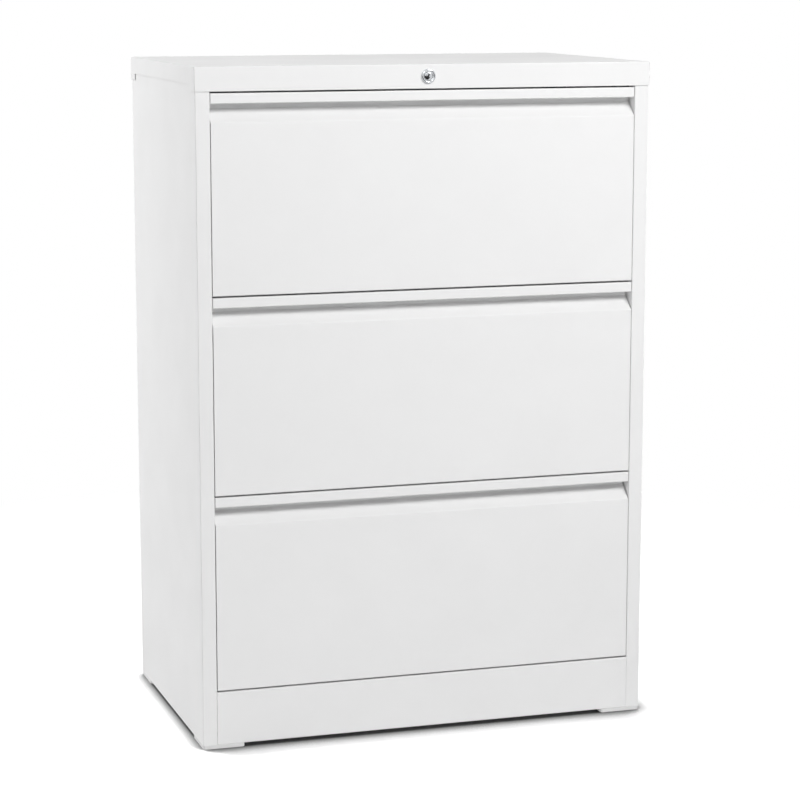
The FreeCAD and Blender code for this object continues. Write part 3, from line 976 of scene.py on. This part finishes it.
@dataclass
class Lock:
    """Cylinder lock in the top's front skirt: a threaded barrel and a plug with a keyway.

    Round sizes are radii, and places along the axis are in the cabinet's frame.
    """

    segments: int = 64
    axis_z: float = 1002.0
    front: float = -224.0
    seat: float = -221.0
    barrel_end: float = -195.0
    flange: float = 11.0
    flange_bulge: float = 1.9
    bulge_steps: int = 8
    # Points of the dish round the plug: out from the plug, and behind the front.
    dish: tuple[tuple[float, float], ...] = ((1.9, 0.04), (1.4, 0.25), (0.7, 1.0))
    dish_depth: float = 1.3
    barrel: float = 9.5
    bore: float = 6.65
    thread: float = 1.0
    thread_depth: float = 0.55
    # Turns that the thread lacks behind the flange.
    plain_turns: int = 2
    plug: float = 6.5
    plug_face: float = -223.5
    plug_rim: float = 0.6
    # Points of the plug's broken edge: in from its side, and behind its dome.
    plug_edge: tuple[tuple[float, float], ...] = ((0.25, 0.25), (0.0, 0.8))
    dome: float = 0.4
    dome_shares: tuple[float, ...] = (0.1, 0.3, 0.5, 0.7, 0.85, 1.0)
    plug_end: float = -194.8
    tail: float = 4.0
    tail_end: float = -192.2
    tail_edge: float = 0.5
    keyway_depth: float = 24.0
    # How far the keyway's cutter reaches out of the plug.
    overcut: float = 1.0
    keyway: tuple[tuple[float, float], ...] = (
        (-0.8, 3.7),
        (-0.8, 2.3),
        (-1.35, 1.9),
        (-1.35, 0.2),
        (-0.7, -0.2),
        (-0.7, -1.8),
        (-1.25, -2.2),
        (-1.25, -3.7),
        (0.75, -3.7),
        (0.75, -2.6),
        (1.35, -2.2),
        (1.35, -0.9),
        (0.8, -0.5),
        (0.8, 1.0),
        (1.35, 1.4),
        (1.35, 3.7),
    )

    def turned(self, profile: Profile, closed: bool = False) -> bpy.types.Mesh:
        """Turn a profile about the lock's axis.

        Args:
            profile: Radius and place along Y of each point, in mm.
            closed: Whether the profile is a loop, as for a tube.

        Returns:
            Mesh of the turned shape.
        """
        rings = [
            [(x, y * MM, self.axis_z * MM + up) for x, up in circle(radius * MM, self.segments)]
            for radius, y in profile
        ]
        return loft(rings, closed)

    def barrel_profile(self) -> Profile:
        """Draw the barrel: domed flange, dish round the plug, bore and threaded tube.

        Returns:
            Radius and place along Y of each point, in mm.
        """
        bulge, root = self.flange_bulge, self.barrel - self.thread_depth
        points: Profile = []
        for step in range(self.bulge_steps + 1):
            angle = math.pi / 2 * step / self.bulge_steps
            radius = self.flange - bulge + bulge * math.cos(angle)
            points.append((radius, self.front + bulge - bulge * math.sin(angle)))
        points += [(self.plug + out, self.front + behind) for out, behind in self.dish]
        points += [(self.bore, self.front + self.dish_depth), (self.bore, self.barrel_end)]
        points.append((root, self.barrel_end))
        turns = int((self.barrel_end - self.seat) / self.thread) - self.plain_turns
        for turn in range(turns):
            y = self.barrel_end - (turn + 1) * self.thread
            points += [(self.barrel, y + 0.5 * self.thread), (root, y)]
        return points + [(root, self.seat), (self.flange, self.seat)]

    def plug_profile(self) -> Profile:
        """Draw the plug: domed face, broken edge, round body and tail.

        Returns:
            Radius and place along Y of each point, in mm.
        """
        rim, rise = self.plug - self.plug_rim, self.dome
        points = [
            (rim * share, self.plug_face + rise * share * share) for share in self.dome_shares
        ]
        for inside, behind in self.plug_edge:
            points.append((self.plug - inside, self.plug_face + rise + behind))
        return points + [
            (self.plug, self.plug_end),
            (self.tail, self.plug_end),
            (self.tail, self.tail_end - self.tail_edge),
            (self.tail - self.tail_edge, self.tail_end),
        ]

    def build(self, palette: Palette) -> None:
        """Turn the barrel and the plug in place of their solids.

        Args:
            palette: Finishes of the cabinet.
        """
        barrel = self.turned(self.barrel_profile(), closed=True)
        place("lock_bezel", barrel, palette.chrome, "cabinet", Slot.CHROME, ("lock_barrel",))
        core = self.turned(self.plug_profile())
        depths = (self.plug_face - self.overcut, self.plug_face + self.keyway_depth)
        slot = loft(
            [[(x * MM, y * MM, (self.axis_z + z) * MM) for x, z in self.keyway] for y in depths]
        )
        plug = carve(core, slot)
        place("lock_core", plug, palette.chrome, "lock_plug", Slot.CHROME, ("lock_plug",))


@dataclass
class GangLock:
    """Lifting bar behind the right stile: the rivets that hold its lugs."""

    rivet: float = 5.0
    rivet_height: float = 0.9
    lug_height: float = 12.0
    apart: float = 6.0

    def build(self, palette: Palette) -> None:
        """Set two rivets through the bar at each lug.

        Args:
            palette: Finishes of the cabinet.
        """
        rivets = FastenerHeads(self.rivet, self.rivet_height, Drive.PLAIN)
        bar_low, bar_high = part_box("lock_bar")
        lug_low, lug_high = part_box("lock_lugs")
        step = (lug_high.z - lug_low.z - self.lug_height * MM) / (len(Level) - 1)
        for index in range(len(Level)):
            z = lug_low.z + index * step + self.lug_height * MM / 2
            for sign in (-1, 1):
                x = (bar_low.x + bar_high.x) / 2 + sign * self.apart / 2 * MM
                rivets.add(x, bar_low.y, z, (0, -1, 0))
        rivets.build("lug_rivets", palette.zinc[Axis.Z], "lock_bar")


@dataclass
class Lamp:
    """A square soft lamp, by its place, aim and width in metres and its power in watts.

    A lamp that isn't mirrored lights surfaces without a highlight of its own.
    """

    name: str
    place: tuple[float, float, float]
    aim: tuple[float, float, float]
    width: float
    power: float
    mirrored: bool = True

    def hang(self) -> None:
        """Hang the lamp and point it at its aim."""
        lamp = bpy.data.lights.new(self.name, "AREA")
        lamp.shape, lamp.size, lamp.energy = "SQUARE", self.width, self.power
        stand = show(self.name, lamp)
        stand.visible_glossy = self.mirrored
        stand.location = self.place
        way = Vector(self.aim) - Vector(self.place)
        stand.rotation_euler = way.to_track_quat("-Z", "Y").to_euler()


@dataclass
class Studio:
    """White floor, soft light, a dark flag and the camera, in metres and degrees.

    Attributes:
        lens: Focal length in mm, for a picture of the sensor's width in mm.
        view_end: Distance at which the camera's view ends.
        floor_boost: How much brighter the camera sees the floor than the cabinet does.
        floor_clear: Distances from the middle between which the floor fades to plain white.
        contact_reach: How far from the feet and panels the contact shadow reaches.
        contact_darkest: Share of the light left in the contact shadow.
        shadow_reach: How far the cast shadow reaches.
        shadow_darkest: Share of the light left in the cast shadow.
        shadow_from: Direction in which the floor looks for what casts that shadow.
        shade_span: Shares of open room between which a shadow fades out.
        shade_rays: How many rays feel for the open room.
        horizon: Strength of the room's light at the horizon.
        zenith: Strength of the room's light overhead.
    """

    eye: tuple[float, float, float] = (-1.1813, -3.7933, 1.1547)
    yaw: float = 17.66
    pitch: float = 9.63
    lens: float = 113.65
    sensor: float = 36.0
    view_end: float = 100.0
    floor_width: float = 40.0
    floor_tone: str = "#E9E9E9"
    floor_boost: float = 2.85
    floor_clear: tuple[float, float] = (0.8, 1.7)
    contact_reach: float = 0.028
    contact_darkest: float = 0.1
    shadow_reach: float = 0.085
    shadow_darkest: float = 0.25
    shadow_from: tuple[float, float, float] = (-0.12, 0.9, 0.42)
    shade_span: tuple[float, float] = (0.4, 0.95)
    shade_rays: int = 16
    flag_tone: str = "#161616"
    flag_y: float = -2.2
    flag_across: tuple[float, float] = (-2.4, 0.6)
    flag_up: tuple[float, float] = (0.02, 1.0)
    horizon: float = 0.35
    zenith: float = 0.02
    lamps: tuple[Lamp, ...] = (
        Lamp("key_lamp", (1.3, -2.5, 2.5), (0.0, 0.0, 0.5), 1.2, 60.0),
        Lamp("side_lamp", (-2.0, 1.45, 2.45), (0.0, 0.0, 0.4), 0.3, 30.5),
        Lamp("front_lamp", (-1.3, -3.0, 2.95), (0.0, 0.0, 0.4), 1.4, 32.0),
        Lamp("fill_lamp", (-2.1, 2.0, 0.55), (0.0, 0.0, 0.4), 0.8, 19.5, mirrored=False),
    )

    def rays(self, tree: Tree) -> tuple[Socket, Socket]:
        """Tell rays that show the background from those that light the cabinet.

        Args:
            tree: Tree that gets the nodes.

        Returns:
            Socket that is 1 for camera, glossy and transmission rays, and one for the last two.
        """
        path = add_node(tree, "ShaderNodeLightPath").outputs
        mirrored = reckon(tree, "MAXIMUM", path["Is Glossy Ray"], path["Is Transmission Ray"])
        return reckon(tree, "MAXIMUM", path["Is Camera Ray"], mirrored), mirrored

    def shade(self, tree: Tree, reach: dict[str | int, Any], darkest: float) -> Socket:
        """Tell how much of the room's light reaches a spot of the floor.

        Args:
            tree: Tree that gets the nodes.
            reach: Distance within which things shade the spot, and the side they stand on.
            darkest: Share of the light left where nothing of the room is open.

        Returns:
            Socket with the share of the light, up to 1 in the open.
        """
        feel = add_node(tree, "ShaderNodeAmbientOcclusion", reach, samples=self.shade_rays)
        return spread(tree, feel.outputs["AO"], self.shade_span, (darkest, 1.0))

    def paper(self) -> bpy.types.Material:
        """Make paper that is white in the open and keeps the cabinet's shadow.

        Returns:
            The material.
        """
        made = blank("matt_white_paper")
        tree = made.node_tree
        tone = linear(self.floor_tone)
        bright = tuple(value * self.floor_boost for value in tone[:3]) + (1.0,)
        seen, mirrored = self.rays(tree)
        side = add_node(tree, "ShaderNodeCombineXYZ", dict(enumerate(self.shadow_from)))
        contact = self.shade(tree, {"Distance": self.contact_reach}, self.contact_darkest)
        behind = {"Distance": self.shadow_reach, "Normal": side.outputs[0]}
        cast = self.shade(tree, behind, self.shadow_darkest)
        shaded = blend(tree, reckon(tree, "MULTIPLY", contact, cast), BLACK, bright)
        colour = blend(tree, seen, tone, shaded)
        matt = add_node(tree, "ShaderNodeBsdfDiffuse", {"Color": colour}).outputs["BSDF"]
        white = add_node(tree, "ShaderNodeEmission", {"Color": WHITE, "Strength": 1.0}).outputs[0]
        spot = add_node(tree, "ShaderNodeTexCoord").outputs["Object"]
        away = add_node(tree, "ShaderNodeVectorMath", {0: spot}, operation="LENGTH")
        clear = spread(
            tree,
            away.outputs["Value"],
            self.floor_clear,
            (0.0, seen),
            interpolation_type="SMOOTHSTEP",
        )
        plain = reckon(tree, "MAXIMUM", clear, mirrored)
        paint = add_node(tree, "ShaderNodeMixShader", {0: plain, 1: matt, 2: white})
        add_node(tree, "ShaderNodeOutputMaterial", {"Surface": paint.outputs["Shader"]})
        return made

    def felt(self) -> bpy.types.Material:
        """Make the black felt of the flag.

        Returns:
            The material.
        """
        made = blank("black_felt")
        tree = made.node_tree
        matt = add_node(tree, "ShaderNodeBsdfDiffuse", {"Color": linear(self.flag_tone)})
        add_node(tree, "ShaderNodeOutputMaterial", {"Surface": matt.outputs["BSDF"]})
        return made

    def sheet(self, name: str, corners: Ring, material: bpy.types.Material) -> bpy.types.Object:
        """Spread a flat sheet.

        Args:
            name: Name of the sheet.
            corners: Its four corners.
            material: Its finish.

        Returns:
            The sheet.
        """
        mesh = bpy.data.meshes.new(name)
        mesh.from_pydata(corners, [], [(0, 1, 2, 3)])
        mesh.materials.append(material)
        return show(name, mesh)

    def lay_floor(self) -> None:
        """Lay a pale paper floor."""
        half = self.floor_width / 2
        corners = [(-half, -half, 0), (half, -half, 0), (half, half, 0), (-half, half, 0)]
        floor = self.sheet("floor", corners, self.paper())

    def light(self) -> None:
        """Hang the lamps and fill the room with white light that is softer overhead."""
        for lamp in self.lamps:
            lamp.hang()
        room = bpy.data.worlds.new("white_room")
        room.use_nodes = True
        tree = room.node_tree
        tree.nodes.clear()
        way = add_node(tree, "ShaderNodeTexCoord").outputs["Generated"]
        up = add_node(tree, "ShaderNodeSeparateXYZ", {0: way}).outputs["Z"]
        ambient = spread(tree, up, (0.0, 1.0), (self.horizon, self.zenith))
        seen, _ = self.rays(tree)
        strength = add_node(
            tree, "ShaderNodeMix", {0: seen, 2: ambient, 3: 1.0}, data_type="FLOAT"
        ).outputs[0]
        glow = add_node(tree, "ShaderNodeBackground", {"Color": WHITE, "Strength": strength})
        add_node(tree, "ShaderNodeOutputWorld", {"Surface": glow.outputs["Background"]})
        bpy.context.scene.world = room

    def hang_flag(self) -> None:
        """Hang a flag in front of the cabinet that only gives polished metal its dark edges."""
        (left, right), (low, high) = self.flag_across, self.flag_up
        spots = ((left, low), (right, low), (right, high), (left, high))
        flag = self.sheet("flag", [(x, self.flag_y, z) for x, z in spots], self.felt())
        flag.visible_camera = flag.visible_diffuse = False
        flag.visible_shadow = flag.visible_transmission = False

    def build(self) -> None:
        """Set the floor, the light, the flag and the camera."""
        self.lay_floor()
        self.light()
        self.hang_flag()
        view = bpy.data.cameras.new("camera")
        view.sensor_fit, view.sensor_width, view.lens = "HORIZONTAL", self.sensor, self.lens
        view.clip_end = self.view_end
        camera = show("camera", view)
        camera.location = self.eye
        camera.rotation_euler = (math.radians(90 - self.pitch), 0.0, -math.radians(self.yaw))
        bpy.context.scene.camera = camera
        bpy.context.scene.view_settings.view_transform = "Standard"


def main() -> None:
    """Dress the cabinet and set the studio."""
    logging.basicConfig(level=logging.INFO, format="%(name)s: %(message)s")
    palette = Palette()
    palette.dress()
    Case().build(palette)
    Feet().build(palette)
    for level in Level:
        Drawer(level).build(palette)
    Lock().build(palette)
    GangLock().build(palette)
    Studio().build()


if __name__ == "__main__":
    main()
